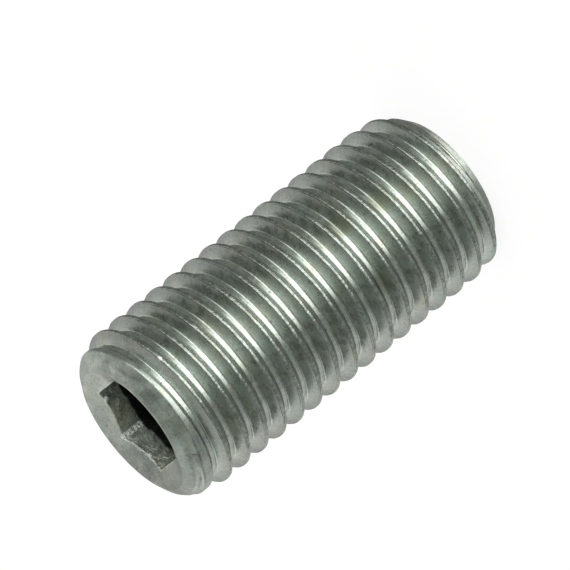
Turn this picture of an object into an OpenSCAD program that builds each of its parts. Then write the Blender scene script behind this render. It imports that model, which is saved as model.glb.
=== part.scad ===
// Socket set screw: a headless stud, threaded from end to end, with a flat point below and a
// hexagon socket above. It stands on its point, with +Z towards the socket.

/* [Thread] */
// Diameter over the thread crests
thread_d = 16; // [13:0.5:24]
// Distance from one turn of the thread to the next
thread_pitch = 2; // [1.5:0.25:3]
// Width of the flat along the top of the thread
crest_w = 0.25; // [0.15:0.05:0.4]
// Width of the flat along the bottom of the groove
root_w = 0.5; // [0.25:0.05:0.7]
// Angle between the two sides of the groove
thread_angle = 60; // [55:1:65]
// Height at which the crest crosses the X axis for the first time
thread_start = 0.26; // [0:0.02:1.5]

/* [Stud] */
// Length from the flat point to the face round the socket
stud_len = 35; // [22:1:60]
// Diameter of the flat point
point_d = 12; // [8:0.5:13]
// Diameter of the face round the socket, inside its chamfer
socket_face_d = 12.1; // [11.9:0.1:13]
// Angle between the chamfer of each end and the end face
chamfer_angle = 45; // [30:1:55]
// Width of the chamfer, measured along a radius
chamfer_w = 1.2; // [0.5:0.1:1.8]
// Angle between the axis and the cone on which the first turn comes to its full height
run_in_angle = 25; // [15:1:45]

/* [Socket] */
// Width of the hexagon from flat to flat
socket_af = 8; // [5:0.5:8.5]
// Depth of the hexagon from the face
socket_depth = 10; // [5:0.5:14]
// Diameter of the countersink round the mouth of the hexagon
countersink_d = 11.6; // [10:0.1:11.8]
// Full angle of the countersink
countersink_angle = 130; // [100:5:140]
// Full angle of the drilled cone below the hexagon
drill_angle = 118; // [90:2:140]

/* [Quality] */
// Straight steps in one turn of the thread
thread_steps = 48; // [32:4:60]

/* [Hidden] */
thread_r = thread_d / 2;
groove_depth = (thread_pitch - crest_w - root_w) / 2 / tan(thread_angle / 2);

// One pitch of the thread as [height, radius], from the lower edge of a crest to the next one
thread_profile = [
    [-crest_w / 2, thread_r],
    [crest_w / 2, thread_r],
    [(thread_pitch - root_w) / 2, thread_r - groove_depth],
    [(thread_pitch + root_w) / 2, thread_r - groove_depth],
];

hex_corner_r = socket_af / 2 / cos(30);
overlap = 1;

// A rod with a right-hand thread, from a turn below z = 0 to a turn above z = height.
// The outer wall is one strip, wound up the rod, whose upper edge is the lower edge of its next turn.
module threaded_rod(height) {
    rows = len(thread_profile);
    turns = ceil(height / thread_pitch) + 3;
    columns = turns * thread_steps;
    start = thread_start - 2 * thread_pitch;
    wall = [
        for (i = [0 : columns]) let (a = i * 360 / thread_steps, rise = start + i * thread_pitch / thread_steps)
            for (p = thread_profile) [p[1] * cos(a), p[1] * sin(a), rise + p[0]]
    ];
    bottom = len(wall);
    top = bottom + 1;
    // Corner of the strip at step i and row j, where the row past the last is the first of the next turn
    function corner(i, j) = j < rows ? i * rows + j : (i + thread_steps) * rows;
    last = columns - thread_steps;
    faces = concat(
        [for (i = [0 : last - 1], j = [0 : rows - 1], half = [0, 1])
            half == 0
                ? [corner(i, j), corner(i + 1, j + 1), corner(i + 1, j)]
                : [corner(i, j), corner(i, j + 1), corner(i + 1, j + 1)]],
        [for (i = [0 : thread_steps - 1]) [bottom, corner(i, 0), corner(i + 1, 0)]],
        [for (j = [0 : rows - 1]) [bottom, corner(0, j + 1), corner(0, j)]],
        [for (i = [last : columns - 1]) [top, corner(i + 1, 0), corner(i, 0)]],
        [for (j = [0 : rows - 1]) [top, corner(last, j), corner(last, j + 1)]]
    );
    polyhedron(
        points = concat(wall, [[0, 0, start], [0, 0, start + turns * thread_pitch]]),
        faces = faces,
        convexity = 10
    );
}

// The outer form of one end, standing on its flat face, and from there on past the other end.
// Above the chamfer a gentle cone holds back the crests of the first turn, which isn't fully formed.
module end_form(face_d) {
    shoulder_r = face_d / 2 + chamfer_w;
    shoulder_z = chamfer_w * tan(chamfer_angle);
    clear_r = max(thread_r, shoulder_r) + overlap;
    rotate_extrude($fn = 96)
        polygon([
            [0, 0],
            [face_d / 2, 0],
            [shoulder_r, shoulder_z],
            [clear_r, shoulder_z + (clear_r - shoulder_r) / tan(run_in_angle)],
            [clear_r, stud_len + overlap],
            [0, stud_len + overlap],
        ]);
}

// A cone on the axis whose wide end is at height z and which narrows downwards to a point
module cone_down(z, r, full_angle) {
    depth = r / tan(full_angle / 2);
    rotate_extrude($fn = 96)
        polygon([[0, z - depth], [r, z], [0, z]]);
}

// The hexagon has two of its flats square to the X axis
module hex_socket() {
    floor_z = stud_len - socket_depth;
    translate([0, 0, floor_z])
        rotate([0, 0, 90])
            cylinder(h = socket_depth + overlap, r = hex_corner_r, $fn = 6);
    cone_down(floor_z, socket_af / 2, drill_angle);
    mouth_r = countersink_d / 2 + overlap * tan(countersink_angle / 2);
    cone_down(stud_len + overlap, mouth_r, countersink_angle);
}

module stud() {
    color([0.56, 0.57, 0.52])
        difference() {
            intersection() {
                threaded_rod(stud_len);
                end_form(point_d);
                translate([0, 0, stud_len]) mirror([0, 0, 1]) end_form(socket_face_d);
            }
            hex_socket();
        }
}

stud();
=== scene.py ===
import math
import bmesh
import bpy
from mathutils import Matrix, Vector, noise


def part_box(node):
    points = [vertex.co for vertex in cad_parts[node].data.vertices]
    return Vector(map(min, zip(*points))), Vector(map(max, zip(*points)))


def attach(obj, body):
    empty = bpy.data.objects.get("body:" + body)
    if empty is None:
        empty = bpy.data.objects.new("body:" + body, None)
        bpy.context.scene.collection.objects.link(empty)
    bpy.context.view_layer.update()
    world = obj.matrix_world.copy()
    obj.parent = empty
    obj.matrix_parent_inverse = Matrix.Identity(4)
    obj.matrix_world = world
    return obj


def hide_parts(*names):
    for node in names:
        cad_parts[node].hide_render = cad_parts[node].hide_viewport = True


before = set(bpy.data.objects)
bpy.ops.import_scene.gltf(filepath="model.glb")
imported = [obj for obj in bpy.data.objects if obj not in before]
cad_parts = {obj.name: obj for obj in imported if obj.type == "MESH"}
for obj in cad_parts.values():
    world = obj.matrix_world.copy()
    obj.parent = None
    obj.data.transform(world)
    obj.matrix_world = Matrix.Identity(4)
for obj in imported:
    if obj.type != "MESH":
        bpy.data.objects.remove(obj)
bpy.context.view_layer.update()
studLow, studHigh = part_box("stud")
studLength = studHigh[2] - studLow[2]
crestRadius = (studHigh[0] - studLow[0]) / 2
mm = 0.001
print("frame loaded, stud", round(studLength / mm, 2), "mm long")

# it looks at the side of the stud and a little down on the socket's end, and is rolled so that
# the socket lies at the lower left
cameraView = {
    "target": (1.472 * mm, 0.0, 16.758 * mm),
    "distance": 564.54 * mm,
    "azimuth": 0.161,         # degrees
    "elevation": 21.521,
    "roll": -128.522,
    "lens": 435.94,           # millimetres
    "sensorWidth": 36,
    "clip": (0.02, 20),       # metres
}


def makeCamera(view):
    turn, lift = math.radians(view["azimuth"]), math.radians(view["elevation"])
    back = Vector((-math.sin(turn) * math.cos(lift), -math.cos(turn) * math.cos(lift), math.sin(lift)))
    lensData = bpy.data.cameras.new("studCamera")
    lensData.lens = view["lens"]
    lensData.sensor_width = view["sensorWidth"]
    lensData.clip_start, lensData.clip_end = view["clip"]
    camera = bpy.data.objects.new("studCamera", lensData)
    bpy.context.collection.objects.link(camera)
    camera.matrix_world = (
        Matrix.Translation(Vector(view["target"]) + back * view["distance"])
        @ (-back).to_track_quat("-Z", "Y").to_matrix().to_4x4()
        @ Matrix.Rotation(math.radians(view["roll"]), 4, "Z")
    )
    bpy.context.scene.camera = camera


makeCamera(cameraView)
print("camera placed")


# small helpers shared by the meshes

def softMin(a, b, blend):
    # the lower of two values, rounded where they cross
    low, high = min(a, b), max(a, b)
    if high - low > blend * 8:  # too far apart to matter
        return low
    return low - blend * math.log(math.exp((low - high) / blend) + 1)


def ramp(value, start, end):
    # rises smoothly from 0 at start to 1 at end
    share = (value - start) / (end - start)
    share = max(0.0, min(1.0, share))
    return share * share * (3 - 2 * share)


def filletStations(before, corner, after, radius, segments):
    # points (radius, height) of an arc that rounds the corner between two straight runs
    c = Vector(corner)
    toBefore, toAfter = (Vector(before) - c).normalized(), (Vector(after) - c).normalized()
    half = toBefore.angle(toAfter) / 2
    reach = radius / math.tan(half)
    centre = c + (toBefore + toAfter).normalized() * (radius / math.sin(half))
    first, last = c + toBefore * reach - centre, c + toAfter * reach - centre
    swing = first.angle_signed(last)
    return [centre + Matrix.Rotation(-swing * i / segments, 2) @ first for i in range(segments + 1)]


def stepRing(bm, rim, shape):
    # extrudes an open rim and places each new vertex by its angle round the axis
    made = bmesh.ops.extrude_edge_only(bm, edges=rim)["geom"]
    for v in (g for g in made if isinstance(g, bmesh.types.BMVert)):
        angle = math.atan2(v.co.y, v.co.x)
        r, z = shape(angle)
        v.co = (r * math.cos(angle), r * math.sin(angle), z)
    return [g for g in made if isinstance(g, bmesh.types.BMEdge)]


def ringOf(radius, height):
    return lambda angle: (radius, height)


def closeAt(bm, rim, tip):
    # draws an open rim together in one point
    tips = dict.fromkeys(v for e in rim for v in e.verts)
    bmesh.ops.pointmerge(bm, verts=list(tips), merge_co=tip)


thread = {
    "pitch": 2.0 * mm,
    "crestFlat": 0.25 * mm,
    "rootFlat": 0.5 * mm,
    "rootRadius": 6.92 * mm,
    "firstCrest": 0.26 * mm,      # height at which the crest crosses the X axis
    "turnsBelow": 2,              # turns wound below that height, and cut off again
    "crestInset": 0.08 * mm,      # room left for the roughness of the crest inside the full radius
    "crestMargin": 0.002 * mm,    # the least of that room that is left anywhere
    "crestRounding": 0.045 * mm,
    "crestSegments": 2,
    "rootRounding": 0.1 * mm,
    "rootSegments": 3,
    "stepsPerTurn": 108,
    "flatCuts": 3,
    "flankCuts": 7,
    "flatLength": (0.1 * mm, 0.5 * mm),   # a shorter edge of the profile is a rounding, a longer one a flank
    "weld": 0.001 * mm,           # points closer than this become one
    "blankRadius": 7.25 * mm,     # by the socket the first turn is no higher than the bar it was rolled from
    "topRunIn": (1.2 * mm, 2.7 * mm),     # distances from the end between which the crest fills out
    "lowRunIn": (-2.7 * mm, 3.5 * mm),    # heights between which it rises from nothing by the point
    "capBlend": 0.05 * mm,        # roundness of a crest that has not filled out
    "endBlend": 0.03 * mm,        # softness of the edge where the chamfer cuts the thread
    "crestFrom": (0.8, 0.97),     # shares of the full height between which a flank becomes the crest
    "filledFrom": (0.6, 1.0),     # shares of filling out between which a crest gets its worn top
    "skinSize": 0.45 * mm,        # size of the waves of the skin, and of longer ones along the crest
    "crestSize": 1.7 * mm,
    "crestShift": (3, 7, 1),      # keeps the two apart
    "skinWander": 0.006 * mm,
    "crestWander": 0.045 * mm,    # along the axis
    "crestDrop": 0.0225 * mm,     # inwards
}


def threadTurn(bm, spec):
    # one pitch of the profile, from the middle of a root to the middle of the next one
    crest = crestRadius - spec["crestInset"]
    root = spec["rootRadius"]
    base = spec["firstCrest"] - spec["turnsBelow"] * spec["pitch"]
    corners = [
        (root, -spec["pitch"] / 2),
        (root, -(spec["pitch"] - spec["rootFlat"]) / 2),
        (crest, -spec["crestFlat"] / 2),
        (crest, spec["crestFlat"] / 2),
        (root, (spec["pitch"] - spec["rootFlat"]) / 2),
        (root, spec["pitch"] / 2),
    ]
    verts = [bm.verts.new((r, 0, base + z)) for r, z in corners]
    for pair in zip(verts, verts[1:]):
        bm.edges.new(pair)
    bmesh.ops.bevel(bm, geom=[verts[1], verts[4]], offset=spec["rootRounding"],
                    segments=spec["rootSegments"], profile=0.5, affect="VERTICES", material=-1)
    crestVerts = [v for v in bm.verts if v.co.x > crest - spec["weld"]]
    bmesh.ops.bevel(bm, geom=crestVerts, offset=spec["crestRounding"],
                    segments=spec["crestSegments"], profile=0.5, affect="VERTICES", material=-1)
    shortest, longest = spec["flatLength"]
    flanks = [e for e in bm.edges if e.calc_length() > longest]
    flats = [e for e in bm.edges if shortest < e.calc_length() <= longest]
    bmesh.ops.subdivide_edges(bm, edges=flanks, cuts=spec["flankCuts"])
    bmesh.ops.subdivide_edges(bm, edges=flats, cuts=spec["flatCuts"])
    steps = spec["stepsPerTurn"]
    bmesh.ops.spin(bm, geom=bm.verts[:] + bm.edges[:], cent=(0, 0, 0), axis=(0, 0, 1),
                   dvec=(0, 0, spec["pitch"] / steps), angle=math.tau, steps=steps,
                   use_merge=False, use_duplicate=False)


def stackTurns(bm, spec):
    turns = math.ceil(studLength / spec["pitch"]) + spec["turnsBelow"] + 1
    oneTurn = bm.verts[:] + bm.edges[:] + bm.faces[:]
    for turn in range(1, turns):
        copy = bmesh.ops.duplicate(bm, geom=oneTurn)["geom"]
        lifted = [g for g in copy if isinstance(g, bmesh.types.BMVert)]
        bmesh.ops.translate(bm, verts=lifted, vec=(0, 0, turn * spec["pitch"]))
    bmesh.ops.remove_doubles(bm, verts=bm.verts, dist=spec["weld"])


ends = {
    "faceRadius": 6.07 * mm,
    "faceSlope": 0.9,             # how fast the chamfer of the socket's end widens
    "faceSwell": 0.38 * mm,       # how much fuller it is towards +X and -X
    "swellDepth": 0.45 * mm,
    "unrolled": (1.15 * mm, 0.8 * mm),    # distances from the end between which the first groove dies out
    "pointRadius": 6.08 * mm,
    "pointChamfer": 0.86 * mm,    # height of the chamfer, above which the thread stands clear of it
    "pointClearance": 6,          # and how fast it does
    "pointRounding": 0.3 * mm,
    "pointRings": (0.85, 0.6, 0.3),       # shares of the radius, on the flat face
    "rimRounding": 0.14 * mm,
    "segments": 4,
    "cutFade": 0.05 * mm,         # how softly the chamfer's turned finish begins
    "cutHeight": 0.2 * mm,        # the thread's mesh stops this far inside each end face
    "weld": 0.0005 * mm,
}


def shapeThread(bm, spec):
    # lowers the thread towards both ends, cuts it by the chamfers and roughens its skin
    cutFace = bm.verts.layers.float.new("cutFace")
    crestTop = bm.verts.layers.float.new("crestTop")
    root = spec["rootRadius"]
    full = crestRadius - root
    start, end = spec["lowRunIn"]
    for v in bm.verts:
        x, y, z = v.co
        angle, r = math.atan2(y, x), math.hypot(x, y)
        crestHeight = spec["firstCrest"] + spec["pitch"] * angle / math.tau
        crestHeight += spec["pitch"] * round((z - crestHeight) / spec["pitch"])
        filled = ramp(studLength - crestHeight, *spec["topRunIn"])
        onCrest = ramp((r - root) / full, *spec["crestFrom"])
        v[crestTop] = onCrest * ramp(filled, *spec["filledFrom"])
        r = root + (r - root) * max(0.0, min(1.0, (crestHeight - start) / (end - start)))
        rough = noise.noise(Vector((x, y, z)) / spec["skinSize"])
        sway = noise.noise(Vector((x, y, z)) / spec["crestSize"] + Vector(spec["crestShift"]))
        if filled < 1:
            cap = spec["blankRadius"] + (crestRadius - spec["blankRadius"]) * filled
            r = softMin(r, cap, spec["capBlend"])
        r += spec["skinWander"] * rough - abs(sway + rough) * spec["crestDrop"] * onCrest
        z += spec["crestWander"] * rough * onCrest
        r = min(r, crestRadius - spec["crestMargin"])
        topCut = ends["faceRadius"] + (studLength - z) * ends["faceSlope"]
        topCut += ends["faceSwell"] * math.cos(angle) ** 2 * ramp(studLength - z, 0, ends["swellDepth"])
        lowCut = ends["pointRadius"] + z
        lowCut += max(0.0, z - ends["pointChamfer"]) * ends["pointClearance"]
        cut = min(topCut, lowCut)
        unrolled = ramp(studLength - z, *ends["unrolled"])
        r += max(0.0, min(cut, spec["blankRadius"]) - r) * unrolled
        v[cutFace] = ramp(r - cut, -ends["cutFade"], ends["cutFade"])
        r = softMin(r, cut, spec["endBlend"])
        v.co = (r * math.cos(angle), r * math.sin(angle), z)


def trimEnds(bm):
    # leaves one open circle near each end face
    for height, outward in ((ends["cutHeight"], -1), (studLength - ends["cutHeight"], 1)):
        bmesh.ops.bisect_plane(bm, geom=bm.verts[:] + bm.edges[:] + bm.faces[:], dist=ends["weld"],
                               plane_co=(0, 0, height), plane_no=(0, 0, outward), clear_outer=True)
    rims = [e for e in bm.edges if e.is_boundary]
    middle = studLength / 2
    lowRim = [e for e in rims if e.verts[0].co.z < middle]
    topRim = [e for e in rims if e.verts[0].co.z > middle]
    return lowRim, topRim


def closePoint(bm, rim):
    r = ends["pointRadius"]
    rounding = filletStations((r + 1, 1), (r, 0), (0, 0), ends["pointRounding"], ends["segments"])
    for station in rounding:
        rim = stepRing(bm, rim, ringOf(*station))
    for share in ends["pointRings"]:
        rim = stepRing(bm, rim, ringOf(r * share, 0))
    rim = stepRing(bm, rim, ringOf(0.0, 0))
    closeAt(bm, rim, (0, 0, 0))


def closeRimAtFace(bm, rim):
    r = ends["faceRadius"]
    rounding = filletStations((r + ends["faceSlope"], studLength - 1), (r, studLength), (0, studLength),
                              ends["rimRounding"], ends["segments"])
    for station in rounding:
        rim = stepRing(bm, rim, ringOf(*station))
    return rim


socket = {
    "acrossFlats": 8.0 * mm,
    "cornerRounding": 0.22 * mm,
    "depth": 10.0 * mm,
    "mouthRadius": 5.82 * mm,
    "mouthMargin": 0.12 * mm,     # the mesh of the socket begins this far outside its mouth
    "mouthLean": 25.0,            # degrees between the countersink and the end face
    "mouthRounding": 0.12 * mm,
    "mouthSegments": 3,
    "edgeRounding": 0.07 * mm,
    # steps round the hexagon's upper edge: outwards from the wall and down from the countersink
    "edgeSteps": ((2, 0), (1, 0), (0.35, 0.35), (0, 1), (0, 2)),
    "drillRadius": 3.95 * mm,
    "drillLean": 31.0,            # degrees between the drilled cone and the end face
    "drillRings": (1.0, 0.75, 0.5, 0.25, 0.0),
    "stepsRound": 288,
    "wallRings": 24,
    "wallWander": 0.03 * mm,
    "wanderSize": (0.5, 1.4),     # millimetres, across and along the screw
    "smoothMouth": 0.7 * mm,      # the walls are even down to here,
    "smoothTip": 1.0 * mm,        # and so is the drilled cone this close to the axis
    "finishMargin": 0.1 * mm,     # the socket's own finish ends this far outside its walls
}


def hexRadius(angle):
    # distance from the axis to the socket's wall; two corners lie on the Y axis
    halfSide = math.radians(30)
    flat = socket["acrossFlats"] / 2
    corner = flat / math.cos(halfSide)
    rounding = socket["cornerRounding"]
    offset = (angle - halfSide) % (halfSide * 2)
    offset = min(offset, halfSide * 2 - offset)
    arcCentre = corner - rounding / math.cos(halfSide)
    reach = arcCentre * math.sin(offset)
    # the rounding meets the flats half its radius to each side of the corner
    if offset < math.asin(min(1.0, rounding * 0.5 / arcCentre)):
        return arcCentre * math.cos(offset) + math.sqrt(rounding ** 2 - reach ** 2)
    return flat / math.cos(halfSide - offset)


def buildSocket(bm):
    lean = math.tan(math.radians(socket["mouthLean"]))
    mouth = socket["mouthRadius"]
    edge = socket["edgeRounding"]
    floorZ = studLength - socket["depth"]

    def onCone(outside, below):
        def shape(angle):
            wall = hexRadius(angle)
            return wall + outside, studLength - (mouth - wall - outside) * lean - below
        return shape

    def onWall(share):
        def shape(angle):
            wall, top = onCone(0, edge * 2)(angle)
            return wall, top + (floorZ - top) * share
        return shape

    ring = bmesh.ops.create_circle(bm, cap_ends=False, radius=mouth + socket["mouthMargin"],
                                   segments=socket["stepsRound"])["verts"]
    bmesh.ops.translate(bm, verts=ring, vec=(0, 0, studLength))
    firstRim = list(dict.fromkeys(e for v in ring for e in v.link_edges))
    rim = firstRim
    rounding = filletStations((mouth + 1, studLength), (mouth, studLength), (0, studLength - mouth * lean),
                              socket["mouthRounding"], socket["mouthSegments"])
    for station in rounding:
        rim = stepRing(bm, rim, ringOf(*station))
    for outside, below in socket["edgeSteps"]:
        rim = stepRing(bm, rim, onCone(edge * outside, edge * below))
    for i in range(socket["wallRings"]):
        rim = stepRing(bm, rim, onWall((i + 1) / socket["wallRings"]))
    drill = socket["drillRadius"]
    drop = math.tan(math.radians(socket["drillLean"]))
    for share in socket["drillRings"]:
        rim = stepRing(bm, rim, ringOf(drill * share, floorZ - drill * (1 - share) * drop))
    closeAt(bm, rim, (0, 0, floorZ - drill * drop))
    return firstRim


def roughenSocket(bm):
    across, along = socket["wanderSize"]
    highest = studLength - socket["smoothMouth"]
    for v in bm.verts:
        x, y, z = v.co
        r = math.hypot(x, y)
        if socket["smoothTip"] <= r <= socket["mouthRadius"] and studLength / 2 <= z <= highest:
            sway = noise.noise(Vector((x / across, y / across, z / along)) / mm)
            v.co += Vector((x, y, 0)) / r * sway * socket["wallWander"]


def buildStud():
    bm = bmesh.new()
    threadTurn(bm, thread)
    stackTurns(bm, thread)
    print("thread wound,", len(bm.verts), "points")
    shapeThread(bm, thread)
    lowRim, topRim = trimEnds(bm)
    closePoint(bm, lowRim)
    faceRim = closeRimAtFace(bm, topRim)
    socketRim = buildSocket(bm)
    bmesh.ops.triangle_fill(bm, edges=faceRim + socketRim, use_beauty=True, normal=(0, 0, 1))
    roughenSocket(bm)
    bmesh.ops.remove_doubles(bm, verts=bm.verts, dist=ends["weld"])
    bmesh.ops.recalc_face_normals(bm, faces=bm.faces)
    for face in bm.faces:
        face.smooth = True
        x, y, z = face.calc_center_median()
        finishEnd = hexRadius(math.atan2(y, x)) + socket["finishMargin"]
        face.material_index = 1 if math.hypot(x, y) < finishEnd and z > studLength / 2 else 0
    mesh = bpy.data.meshes.new("setScrew")
    bm.to_mesh(mesh)
    bm.free()
    piece = bpy.data.objects.new("setScrew", mesh)
    bpy.context.collection.objects.link(piece)
    print("stud closed,", len(mesh.polygons), "faces")
    return piece


# node helpers

def addNode(tree, kind, **values):
    node = tree.nodes.new(kind)
    for key, value in values.items():
        setattr(node, key, value)
    return node


def feed(tree, place, value):
    if hasattr(value, "is_linked"):
        tree.links.new(value, place)
    else:
        place.default_value = value


def calc(tree, operation, *values):
    node = addNode(tree, "ShaderNodeMath", operation=operation)
    for place, value in zip(node.inputs, values):
        feed(tree, place, value)
    return node.outputs[0]


def fade(tree, value, start, end, low=0.0, high=1.0):
    # rises smoothly from low at start to high at end
    node = addNode(tree, "ShaderNodeMapRange", interpolation_type="SMOOTHSTEP")
    for place, given in zip(node.inputs, (value, start, end, low, high)):
        feed(tree, place, given)
    return node.outputs[0]


def blendColour(tree, share, first, second, mode="MIX"):
    node = addNode(tree, "ShaderNodeMix", data_type="RGBA", blend_type=mode)
    feed(tree, node.inputs[0], share)
    feed(tree, node.inputs[6], first)
    feed(tree, node.inputs[7], second)
    return node.outputs[2]


def blendValue(tree, share, first, second):
    node = addNode(tree, "ShaderNodeMix", data_type="FLOAT")
    feed(tree, node.inputs[0], share)
    feed(tree, node.inputs[2], first)
    feed(tree, node.inputs[3], second)
    return node.outputs[0]


def grainAt(tree, place, scale, detail=2.0, depth=None):
    node = addNode(tree, "ShaderNodeTexNoise", noise_dimensions="3D" if depth is None else "4D")
    feed(tree, node.inputs["Vector"], place)
    feed(tree, node.inputs["Scale"], scale)
    feed(tree, node.inputs["Detail"], detail)
    if depth is not None:
        feed(tree, node.inputs["W"], depth)
    return node.outputs["Fac"]


def scaleBy(tree, vector, factor):
    node = addNode(tree, "ShaderNodeVectorMath", operation="SCALE")
    feed(tree, node.inputs[0], vector)
    feed(tree, node.inputs["Scale"], factor)
    return node.outputs[0]


def addVectors(tree, first, second):
    node = addNode(tree, "ShaderNodeVectorMath", operation="ADD")
    feed(tree, node.inputs[0], first)
    feed(tree, node.inputs[1], second)
    return node.outputs[0]


def splitVector(tree, vector):
    node = addNode(tree, "ShaderNodeSeparateXYZ")
    feed(tree, node.inputs[0], vector)
    return node.outputs


def joinVector(tree, *parts):
    node = addNode(tree, "ShaderNodeCombineXYZ")
    for place, value in zip(node.inputs, parts):
        feed(tree, place, value)
    return node.outputs[0]


def newGroup(name, inputs, outputs):
    group = bpy.data.node_groups.new(name, "ShaderNodeTree")
    for way, sockets in (("INPUT", inputs), ("OUTPUT", outputs)):
        for title, kind in sockets.items():
            group.interface.new_socket(name=title, in_out=way, socket_type="NodeSocket" + kind)
    return group, addNode(group, "NodeGroupInput").outputs, addNode(group, "NodeGroupOutput").inputs


def placeGroup(tree, group, **values):
    node = addNode(tree, "ShaderNodeGroup")
    node.node_tree = group
    for title, value in values.items():
        feed(tree, node.inputs[title], value)
    return node.outputs


def makeAroundAxis():
    # turns a place on the screw into its radius and height in millimetres, and a place on a unit ring
    group, given, out = newGroup("aroundAxis", {"Place": "Vector"},
                                 {"Radius": "Float", "Height": "Float", "Ring": "Vector"})
    x, y, z = splitVector(group, scaleBy(group, given["Place"], 1 / mm))
    squares = [calc(group, "MULTIPLY", side, side) for side in (x, y)]
    radius = calc(group, "SQRT", calc(group, "ADD", *squares))
    away = calc(group, "MAXIMUM", radius, 0.01)  # so that nothing is divided by 0 on the axis
    ring = joinVector(group, calc(group, "DIVIDE", x, away), calc(group, "DIVIDE", y, away))
    feed(group, out["Radius"], radius)
    feed(group, out["Height"], z)
    feed(group, out["Ring"], ring)
    return group


def makeTurnedLines(aroundAxis):
    # fine lines that run round the axis, as rolling and turning leave them
    group, given, out = newGroup("turnedLines", {"Place": "Vector", "Length": "Float", "Fineness": "Float"},
                                 {"Height": "Float"})
    around = placeGroup(group, aroundAxis, Place=given["Place"])
    spread = scaleBy(group, around["Ring"], given["Length"])
    lift = joinVector(group, 0.0, 0.0, calc(group, "MULTIPLY", around["Height"], given["Fineness"]))
    depth = calc(group, "MULTIPLY", around["Radius"], given["Fineness"])
    feed(group, out["Height"], grainAt(group, addVectors(group, spread, lift), 1.0, 2.0, depth))
    return group


# a noise is given as how many waves there are to a metre and how much detail they have
zincClouds = {
    "cloud": (1100.0, 4.0),
    "warmth": (420.0, 3.0),
    "grain": (5200.0, 2.0),
    "greenFrom": (0.48, 0.68),    # levels of the noise between which a patch turns green, or warm
    "warmFrom": (0.5, 0.68),
    "cloudLight": (0.3, 0.7, 0.86, 1.14),     # two levels of the noise, and how light it is at each
}


def makeZincMottle():
    # cloudy plating: patches that lean to green or to a warm grey, and a fine dark and light speckle
    group, given, out = newGroup(
        "zincMottle",
        {"Place": "Vector", "Tone": "Color", "Green": "Color", "Warm": "Color", "Patchiness": "Float",
         "Speckle": "Float"},
        {"Color": "Color", "Cloud": "Float", "Grain": "Float"})
    cloud = grainAt(group, given["Place"], *zincClouds["cloud"])
    warmth = grainAt(group, given["Place"], *zincClouds["warmth"])
    grain = grainAt(group, given["Place"], *zincClouds["grain"])
    toGreen = calc(group, "MULTIPLY", fade(group, cloud, *zincClouds["greenFrom"]), given["Patchiness"])
    toWarm = calc(group, "MULTIPLY", fade(group, warmth, *zincClouds["warmFrom"]), given["Patchiness"])
    colour = blendColour(group, toGreen, given["Tone"], given["Green"])
    colour = blendColour(group, toWarm, colour, given["Warm"])
    light = calc(group, "MULTIPLY", calc(group, "SUBTRACT", grain, 0.5), given["Speckle"])
    light = calc(group, "ADD", 1.0, light)
    light = calc(group, "MULTIPLY", light, fade(group, cloud, *zincClouds["cloudLight"]))
    feed(group, out["Color"], scaleBy(group, colour, light))
    feed(group, out["Cloud"], cloud)
    feed(group, out["Grain"], grain)
    return group


scratches = {
    "bendSize": 700.0,            # waves to a metre in the bend of a scratch
    "bend": 0.6 * mm,             # how far it is bent at most
    # the turn of each set in degrees, and its waves to a metre along each axis
    "sets": (((20, 35, 10), (2500, 300, 900)), ((70, 10, 60), (2600, 350, 800))),
    "lineFrom": (0.69, 0.74),
    "groupSize": 350.0,
    "groupFrom": (0.45, 0.6),
}


def makeNicks():
    # short scattered scratches and small dents
    group, given, out = newGroup("nicks", {"Place": "Vector", "Amount": "Float"}, {"Mask": "Float"})
    bend = addNode(group, "ShaderNodeTexNoise")
    feed(group, bend.inputs["Vector"], given["Place"])
    feed(group, bend.inputs["Scale"], scratches["bendSize"])
    moved = addVectors(group, given["Place"], scaleBy(group, bend.outputs["Color"], scratches["bend"]))
    total = 0.0
    for turn, stretch in scratches["sets"]:
        aim = addNode(group, "ShaderNodeMapping")
        feed(group, aim.inputs["Vector"], moved)
        aim.inputs["Rotation"].default_value = [math.radians(a) for a in turn]
        aim.inputs["Scale"].default_value = stretch
        line = grainAt(group, aim.outputs[0], 1.0, 1.0)
        total = calc(group, "ADD", total, fade(group, line, *scratches["lineFrom"]))
    where = grainAt(group, given["Place"], scratches["groupSize"], 1.0)
    mask = calc(group, "MULTIPLY", total, fade(group, where, *scratches["groupFrom"]))
    feed(group, out["Mask"], calc(group, "MULTIPLY", mask, given["Amount"]))
    return group


def newMaterial(name):
    material = bpy.data.materials.new(name)
    material.use_nodes = True
    return material, material.node_tree, material.node_tree.nodes["Principled BSDF"]


def bumped(tree, shader, height):
    # height is in millimetres
    bump = addNode(tree, "ShaderNodeBump")
    feed(tree, bump.inputs["Height"], height)
    bump.inputs["Distance"].default_value = mm
    feed(tree, shader.inputs["Normal"], bump.outputs[0])


# all of it in radii of the spot
spotEdge = {
    "waves": 0.8,                 # waves of the noise that pushes the edge
    "push": 1.2,
    "outer": 1.9,
    "inner": 0.9,
}


def spotMask(tree, place, centre, radius):
    # a ragged, soft spot
    gap = addNode(tree, "ShaderNodeVectorMath", operation="DISTANCE")
    feed(tree, gap.inputs[0], place)
    gap.inputs[1].default_value = centre
    push = grainAt(tree, place, spotEdge["waves"] / radius, 3.0)
    ragged = calc(tree, "MULTIPLY_ADD", push, radius * spotEdge["push"], gap.outputs["Value"])
    return fade(tree, ragged, radius * spotEdge["outer"], radius * spotEdge["inner"])


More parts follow.
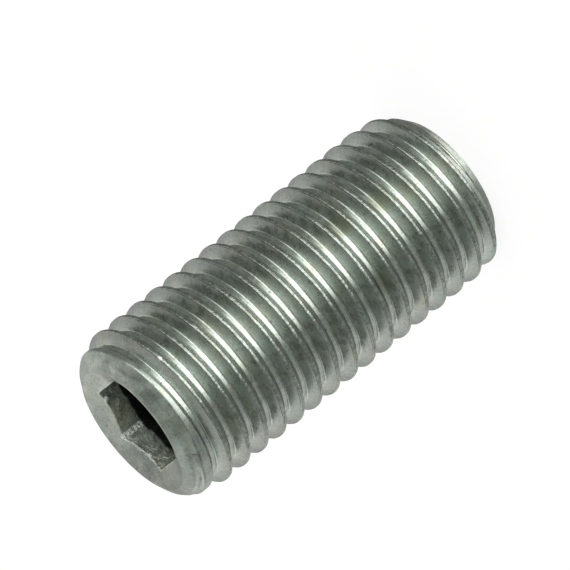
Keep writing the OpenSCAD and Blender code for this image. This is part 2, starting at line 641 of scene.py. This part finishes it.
zincPlate = {
    "tone": (0.36, 0.388, 0.357, 1),
    "green": (0.322, 0.366, 0.342, 1),
    "warm": (0.376, 0.39, 0.344, 1),
    "patchiness": 0.9,
    "speckle": 0.75,
    "rootEdge": (0.22, 0.06),     # millimetres outside the root between which its shine begins
    "crestEdge": (0.1, 0.5),      # levels of the crest's own mask
    "turnedEdge": (-0.04, -0.1),  # millimetres from the root, inwards, between which the turned faces begin
    # painted reflection: lighter by the root and darker up the flanks
    "rootPaintedLight": 1.12,
    "flankPaintedShade": 0.84,
    "paintedLightFrom": 0.1,              # millimetres outside the root
    "paintedShadeRadius": 7.7,            # millimetres from the axis
    "wearGrain": (2800.0, 3.0),
    "wearClouds": (700.0, 2.0),
    "wearPatches": 0.6,
    "wornFrom": (0.71, 0.87),
    "dullCrest": 0.68,
    "crestTone": 0.95,
    "turnedClouds": (620.0, 3.0),
    "turnedFrom": (0.36, 0.64),
    "turnedPaintedLight": (-2.0 * mm, 5.5 * mm),  # the turned faces are patchy, with painted light making them lighter towards +X
    "turnedDark": 0.86,
    "turnedLight": 1.16,
    "pitGrain": (2900.0, 1.0),
    "pitFrom": (0.66, 0.74),
    "pitTone": 0.35,
    "stain": (0.25, 0.265, 0.2, 1),
    "stainDepth": 0.75,
    "stains": (
        ((2.6 * mm, -6.6 * mm, 12.5 * mm), 1.5 * mm),
        ((-3.3 * mm, -6.2 * mm, 12.5 * mm), 1.3 * mm),
        ((2.2 * mm, -6.8 * mm, 8.2 * mm), 1.3 * mm),
    ),
    # painted glints: the colour and places of small bright spots
    "glintColour": (0.9, 0.92, 0.88, 1),
    "paintedGlints": (
        ((3.1 * mm, -7.32 * mm, 31.93 * mm), 0.22 * mm),
        ((-1.7 * mm, -7.7 * mm, 9.35 * mm), 0.12 * mm),
    ),
    "metallic": 0.92,
    "rootRoughness": 0.2,
    "flankRoughness": 0.3,
    "crestRoughness": 0.24,
    "turnedRoughness": 0.36,
    "cloudRoughness": (0.3, 0.7, 0.8, 1.25),  # two levels of the clouds, and what roughness is multiplied by
    "lineLength": 4.0,
    "lineFineness": 7.0,
    "rollLines": 0.008,           # heights in millimetres
    "turnLines": 0.014,
    "crestGrain": 0.055,
    "skinGrain": 0.004,
    "nickDepth": 0.012,
    "nickAmount": 0.5,
}


def makeZincPlate(aroundAxis, turnedLines, zincMottle, nicks):
    spec = zincPlate
    material, tree, shader = newMaterial("zincPlate")
    place = addNode(tree, "ShaderNodeTexCoord").outputs["Object"]
    radius = placeGroup(tree, aroundAxis, Place=place)["Radius"]
    rootRadius = thread["rootRadius"] / mm
    mottle = placeGroup(tree, zincMottle, Place=place, Tone=spec["tone"], Green=spec["green"],
                        Warm=spec["warm"], Patchiness=spec["patchiness"], Speckle=spec["speckle"])
    # masks of the root, the crest and the turned faces
    root = fade(tree, radius, *(rootRadius + step for step in spec["rootEdge"]))
    crest = addNode(tree, "ShaderNodeAttribute", attribute_name="crestTop").outputs["Fac"]
    crest = fade(tree, crest, *spec["crestEdge"])
    turned = addNode(tree, "ShaderNodeAttribute", attribute_name="cutFace").outputs["Fac"]
    inside = fade(tree, radius, *(rootRadius + step for step in spec["turnedEdge"]))
    turned = calc(tree, "MAXIMUM", turned, inside)
    # painted reflection: the flanks are painted lighter by the root and darker towards the crests, and the
    # crests are worn bright in places
    tone = fade(tree, radius, rootRadius + spec["paintedLightFrom"], spec["paintedShadeRadius"],
                spec["rootPaintedLight"], spec["flankPaintedShade"])
    wearGrain = grainAt(tree, place, *spec["wearGrain"])
    wearClouds = grainAt(tree, place, *spec["wearClouds"])
    worn = calc(tree, "MULTIPLY_ADD", wearClouds, spec["wearPatches"], wearGrain)
    worn = fade(tree, worn, *spec["wornFrom"], spec["dullCrest"], spec["crestTone"])
    tone = blendValue(tree, crest, tone, worn)
    patch = grainAt(tree, place, *spec["turnedClouds"])
    patch = fade(tree, patch, *spec["turnedFrom"], spec["turnedDark"], spec["turnedLight"])
    # painted light: the turned faces lighter towards +X, where the light falls on them
    side = splitVector(tree, place)[0]
    side = fade(tree, side, *spec["turnedPaintedLight"], spec["turnedDark"], spec["turnedLight"])
    tone = blendValue(tree, turned, tone, calc(tree, "MULTIPLY", patch, side))
    pits = fade(tree, grainAt(tree, place, *spec["pitGrain"]), *spec["pitFrom"])
    pits = calc(tree, "MULTIPLY", pits, spec["pitTone"])
    tone = calc(tree, "MULTIPLY", tone, calc(tree, "SUBTRACT", 1.0, pits))
    colour = scaleBy(tree, mottle["Color"], tone)
    for centre, size in spec["stains"]:
        mask = calc(tree, "MULTIPLY", spotMask(tree, place, centre, size), spec["stainDepth"])
        colour = blendColour(tree, mask, colour, spec["stain"])
    # painted glints
    for centre, size in spec["paintedGlints"]:
        colour = blendColour(tree, spotMask(tree, place, centre, size), colour, spec["glintColour"])
    feed(tree, shader.inputs["Base Color"], colour)
    flankRoughness = spec["flankRoughness"]
    rough = calc(tree, "MULTIPLY_ADD", root, spec["rootRoughness"] - flankRoughness, flankRoughness)
    rough = calc(tree, "MULTIPLY_ADD", crest, spec["crestRoughness"] - flankRoughness, rough)
    rough = blendValue(tree, turned, rough, spec["turnedRoughness"])
    rough = calc(tree, "MULTIPLY", rough, fade(tree, mottle["Cloud"], *spec["cloudRoughness"]))
    feed(tree, shader.inputs["Roughness"], rough)
    rolled = placeGroup(tree, turnedLines, Place=place, Length=spec["lineLength"],
                        Fineness=spec["lineFineness"])["Height"]
    scratch = placeGroup(tree, nicks, Place=place, Amount=spec["nickAmount"])["Mask"]
    height = calc(tree, "MULTIPLY", rolled, blendValue(tree, turned, spec["rollLines"], spec["turnLines"]))
    height = calc(tree, "MULTIPLY_ADD", mottle["Grain"], spec["skinGrain"], height)
    beads = calc(tree, "MULTIPLY", crest, spec["crestGrain"])
    height = calc(tree, "MULTIPLY_ADD", wearGrain, beads, height)
    height = calc(tree, "MULTIPLY_ADD", scratch, -spec["nickDepth"], height)
    bumped(tree, shader, height)
    shader.inputs["Metallic"].default_value = spec["metallic"]
    return material


socketSteel = {
    "tone": (0.56, 0.6, 0.54, 1),
    "green": (0.36, 0.43, 0.38, 1),
    "warm": (0.62, 0.61, 0.48, 1),
    "patchiness": 0.6,
    "speckle": 1.2,
    # painted shadow: the walls turn nearly black deep in the socket, where the rim shades them
    "paintedShadow": (0.03, 0.034, 0.03, 1),
    "shadowFrom": (1.85, 2.1),      # millimetres below the end face, on the axis, where the painted shadow of the rim begins
    "shadowTilt": 0.17,             # how much deeper that is for each millimetre towards +Y, so that its edge slants as a cast shadow would
    "shadowRagged": (0.3, 0.7, -0.1, 0.1),      # two levels of the lumps, and how far each moves that limit
    # painted highlight along the hexagon's back corner: near white and less metallic
    "corner": (0.95, 0.97, 0.95, 1),
    "cornerRadius": (4.44, 4.53),         # millimetres from the axis
    "cornerPlace": (3.6 * mm, 4.2 * mm),  # only the corner towards +Y gets the painted highlight
    "cornerGrain": (4200.0, 2.0),
    "cornerBroken": (0.38, 0.5, 0.5, 1.0),    # two levels of that grain, and how bright the corner is at each
    "cornerRoughness": 0.3,
    "cornerMetallic": 0.2,
    "cornerLumps": 0.12,          # heights in millimetres
    "cornerBeads": 0.22,
    # painted glints by the socket's mouth, added to the painted highlight
    "paintedGlints": (
        ((3.27 * mm, 2.73 * mm, 34.05 * mm), 0.26 * mm),
        ((-2.45 * mm, 3.2 * mm, 33.95 * mm), 0.24 * mm),
    ),
    "metallic": 0.75,
    "roughness": 0.45,
    "roughnessSway": 0.12,
    "roughnessFrom": (0.3, 0.7),
    "lumpSize": (1000.0, 3.0),
    "lumps": 0.2,
    "grain": 0.015,
}


def makeSocketSteel(aroundAxis, zincMottle):
    spec = socketSteel
    material, tree, shader = newMaterial("socketSteel")
    place = addNode(tree, "ShaderNodeTexCoord").outputs["Object"]
    around = placeGroup(tree, aroundAxis, Place=place)
    alongY = splitVector(tree, place)[1]
    mottle = placeGroup(tree, zincMottle, Place=place, Tone=spec["tone"], Green=spec["green"],
                        Warm=spec["warm"], Patchiness=spec["patchiness"], Speckle=spec["speckle"])
    lumps = grainAt(tree, place, *spec["lumpSize"])
    # painted shadow of the rim, below a limit that slants towards +Y and is ragged
    depth = calc(tree, "SUBTRACT", studLength / mm, around["Height"])
    depth = calc(tree, "MULTIPLY_ADD", alongY, -spec["shadowTilt"] / mm, depth)
    depth = calc(tree, "ADD", depth, fade(tree, lumps, *spec["shadowRagged"]))
    paintedShadow = fade(tree, depth, *spec["shadowFrom"])
    # painted highlight on the corner towards +Y, broken by grain and cut off by the painted shadow
    corner = calc(tree, "MULTIPLY", fade(tree, around["Radius"], *spec["cornerRadius"]),
                  fade(tree, alongY, *spec["cornerPlace"]))
    ragged = grainAt(tree, place, *spec["cornerGrain"])
    corner = calc(tree, "MULTIPLY", corner, fade(tree, ragged, *spec["cornerBroken"]))
    # painted glints
    for centre, size in spec["paintedGlints"]:
        corner = calc(tree, "MAXIMUM", corner, spotMask(tree, place, centre, size))
    corner = calc(tree, "MULTIPLY", corner, calc(tree, "SUBTRACT", 1.0, paintedShadow))
    colour = blendColour(tree, corner, mottle["Color"], spec["corner"])
    feed(tree, shader.inputs["Base Color"], blendColour(tree, paintedShadow, colour, spec["paintedShadow"]))
    height = calc(tree, "MULTIPLY", lumps, blendValue(tree, corner, spec["lumps"], spec["cornerLumps"]))
    height = calc(tree, "MULTIPLY_ADD", mottle["Grain"], spec["grain"], height)
    beads = calc(tree, "MULTIPLY", corner, spec["cornerBeads"])
    height = calc(tree, "MULTIPLY_ADD", ragged, beads, height)
    bumped(tree, shader, height)
    smoothest, roughest = spec["roughness"] - spec["roughnessSway"], spec["roughness"] + spec["roughnessSway"]
    rough = fade(tree, mottle["Cloud"], *spec["roughnessFrom"], smoothest, roughest)
    feed(tree, shader.inputs["Roughness"], blendValue(tree, corner, rough, spec["cornerRoughness"]))
    feed(tree, shader.inputs["Metallic"], blendValue(tree, corner, spec["metallic"], spec["cornerMetallic"]))
    return material


# azimuth is 0 towards -Y, where the camera stands, and grows towards -X; all angles are in degrees,
# and a pair of them is the two sides of a soft edge
studio = {
    "paper": 0.93,                # pale paper below and behind the screw as it lies
    "paperColour": (1.0, 1.0, 0.98),
    "paperLeft": (-150, -180),    # on a level with the window's middle
    "paperLeftLean": 1.0,
    "paperRight": (58, 118),
    "paperRightLean": -0.2,
    "paperFoot": (-34, -20),
    "shade": 0.45,                # how much darker the paper is where the screw would shade it
    "shadeWidth": (140, 175),
    "shadeTop": (5, 45),
    "room": 0.24,
    "roomColour": (0.93, 1.0, 0.92),
    "roomAbove": 0.22,            # what the room gains upwards and to one side
    "roomAboveLift": (0.0, 50.0),
    "roomAboveTurn": (-70.0, 40.0),
    "roomRight": 0.18,
    "roomRightTurn": (30.0, 60.0),
    "key": 2.7,                   # a large window
    "keyColour": (0.985, 1.0, 0.965),
    "keyMiddle": -21.0,           # its elevation
    "keyLow": (-60, -18),
    "keyLowLean": 0.7,
    "keyHigh": (11, 44),
    "keyHighLean": 0.75,          # both upwards and downwards
    "keyFoot": (-75, -50),
    "keyHead": (22, 34),
    "far": 3.1,                   # a window beyond the point, low down
    "farPlace": (0.09, 0.36, -0.929),
    "farWidth": (14, 7),
    # places that are darker, or lighter where the share is below 0: direction, width and share
    "spots": (
        ((-0.945, -0.253, 0.208), (42, 14), 0.6),
        ((0.5, 0.45, 0.74), (28, 8), 0.35),
        ((-0.5, 0.74, 0.45), (30, 10), -0.3),
        ((-0.85, 0.525, -0.04), (24, 8), 0.55),
    ),
}


def degreesFrom(tree, aim, place):
    facing = addNode(tree, "ShaderNodeVectorMath", operation="DOT_PRODUCT")
    feed(tree, facing.inputs[0], aim)
    facing.inputs[1].default_value = place
    return calc(tree, "DEGREES", calc(tree, "ARCCOSINE", facing.outputs["Value"]))


def makeWorld():
    world = bpy.data.worlds.new("studio")
    world.use_nodes = True
    bpy.context.scene.world = world
    tree = world.node_tree
    background = tree.nodes["Background"]
    aim = addNode(tree, "ShaderNodeTexCoord").outputs["Generated"]
    x, y, z = splitVector(tree, aim)
    azimuth = calc(tree, "DEGREES", calc(tree, "ARCTAN2", calc(tree, "MULTIPLY", x, -1.0),
                                         calc(tree, "MULTIPLY", y, -1.0)))
    elevation = calc(tree, "DEGREES", calc(tree, "ARCSINE", z))
    lift = calc(tree, "SUBTRACT", elevation, studio["keyMiddle"])
    above = calc(tree, "MAXIMUM", lift, 0.0)

    def leaning(height, lean):
        return calc(tree, "MULTIPLY_ADD", height, lean, azimuth)

    # the two windows
    key = fade(tree, leaning(lift, studio["keyLowLean"]), *studio["keyLow"])
    keySides = (
        (leaning(calc(tree, "ABSOLUTE", lift), studio["keyHighLean"]), studio["keyHigh"], 1.0, 0.0),
        (elevation, studio["keyFoot"], 0.0, 1.0),
        (elevation, studio["keyHead"], 1.0, 0.0),
    )
    for angle, limits, low, high in keySides:
        key = calc(tree, "MULTIPLY", key, fade(tree, angle, *limits, low, high))
    far = fade(tree, degreesFrom(tree, aim, studio["farPlace"]), *studio["farWidth"],
               0.0, studio["far"] / studio["key"])
    windows = calc(tree, "MULTIPLY", calc(tree, "ADD", key, far), studio["key"])

    # the room, with the paper in front of it
    room = calc(tree, "MULTIPLY", fade(tree, elevation, *studio["roomAboveLift"]),
                fade(tree, azimuth, *studio["roomAboveTurn"]))
    room = calc(tree, "MULTIPLY_ADD", room, studio["roomAbove"], studio["room"])
    room = calc(tree, "ADD", room, fade(tree, azimuth, *studio["roomRightTurn"], 0.0, studio["roomRight"]))
    shade = fade(tree, calc(tree, "ABSOLUTE", azimuth), *studio["shadeWidth"])
    shade = calc(tree, "MULTIPLY", shade, fade(tree, elevation, *studio["shadeTop"], studio["shade"], 0.0))
    paper = calc(tree, "MULTIPLY", calc(tree, "SUBTRACT", 1.0, shade), studio["paper"])
    onLeft = fade(tree, leaning(above, -studio["paperLeftLean"]), *studio["paperLeft"])
    onRight = fade(tree, leaning(above, studio["paperRightLean"]), *studio["paperRight"])
    onPaper = calc(tree, "MULTIPLY", calc(tree, "MAXIMUM", onLeft, onRight),
                   fade(tree, elevation, *studio["paperFoot"]))
    light = blendColour(tree, onPaper, scaleBy(tree, studio["roomColour"], room),
                        scaleBy(tree, studio["paperColour"], paper))
    for centre, width, share in studio["spots"]:
        dimming = fade(tree, degreesFrom(tree, aim, centre), *width, 1.0, 1 - share)
        light = scaleBy(tree, light, dimming)
    light = blendColour(tree, 1.0, light, scaleBy(tree, studio["keyColour"], windows), "ADD")

    # the camera itself sees plain white
    seen = addNode(tree, "ShaderNodeLightPath").outputs["Is Camera Ray"]
    feed(tree, background.inputs["Color"], blendColour(tree, seen, light, (1, 1, 1, 1)))
    background.inputs["Strength"].default_value = 1.0


paperFloor = {
    "tone": (0.9, 0.9, 0.9, 1),
    "roughness": 0.9,
    "glow": 1.16,                 # what the camera sees of the paper is mostly this, so that it stays white
    "glowShare": 0.75,
    "halfWidth": 3.0,             # metres
    "drop": 0.01 * mm,            # keeps it clear of the point's flat face
}


def makeFloor():
    bm = bmesh.new()
    bmesh.ops.create_grid(bm, x_segments=1, y_segments=1, size=paperFloor["halfWidth"])
    bmesh.ops.translate(bm, verts=bm.verts, vec=(0, 0, -paperFloor["drop"]))
    mesh = bpy.data.meshes.new("paleFloor")
    bm.to_mesh(mesh)
    bm.free()
    floor = bpy.data.objects.new("paleFloor", mesh)
    bpy.context.collection.objects.link(floor)
    material, tree, shader = newMaterial("paleFloor")
    shader.inputs["Base Color"].default_value = paperFloor["tone"]
    shader.inputs["Roughness"].default_value = paperFloor["roughness"]
    glow = addNode(tree, "ShaderNodeEmission")
    glow.inputs["Strength"].default_value = paperFloor["glow"]
    mix = addNode(tree, "ShaderNodeMixShader")
    seen = addNode(tree, "ShaderNodeLightPath").outputs["Is Camera Ray"]
    feed(tree, mix.inputs[0], calc(tree, "MULTIPLY", seen, paperFloor["glowShare"]))
    feed(tree, mix.inputs[1], shader.outputs[0])
    feed(tree, mix.inputs[2], glow.outputs[0])
    # from below the paper is clear, so that the point can be seen through it
    under = addNode(tree, "ShaderNodeMixShader")
    feed(tree, under.inputs[0], addNode(tree, "ShaderNodeNewGeometry").outputs["Backfacing"])
    feed(tree, under.inputs[1], mix.outputs[0])
    feed(tree, under.inputs[2], addNode(tree, "ShaderNodeBsdfTransparent").outputs[0])
    feed(tree, tree.nodes["Material Output"].inputs["Surface"], under.outputs[0])
    mesh.materials.append(material)
    floor.visible_glossy = False
    floor.visible_shadow = False


setScrew = buildStud()
aroundAxis = makeAroundAxis()
zincMottle = makeZincMottle()
turnedLines = makeTurnedLines(aroundAxis)
setScrew.data.materials.append(makeZincPlate(aroundAxis, turnedLines, zincMottle, makeNicks()))
setScrew.data.materials.append(makeSocketSteel(aroundAxis, zincMottle))
print("zinc plate and socket steel made")
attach(setScrew, "root")
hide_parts("stud")
makeWorld()
makeFloor()
print("studio lit")
bpy.context.scene.view_settings.view_transform = "Standard"
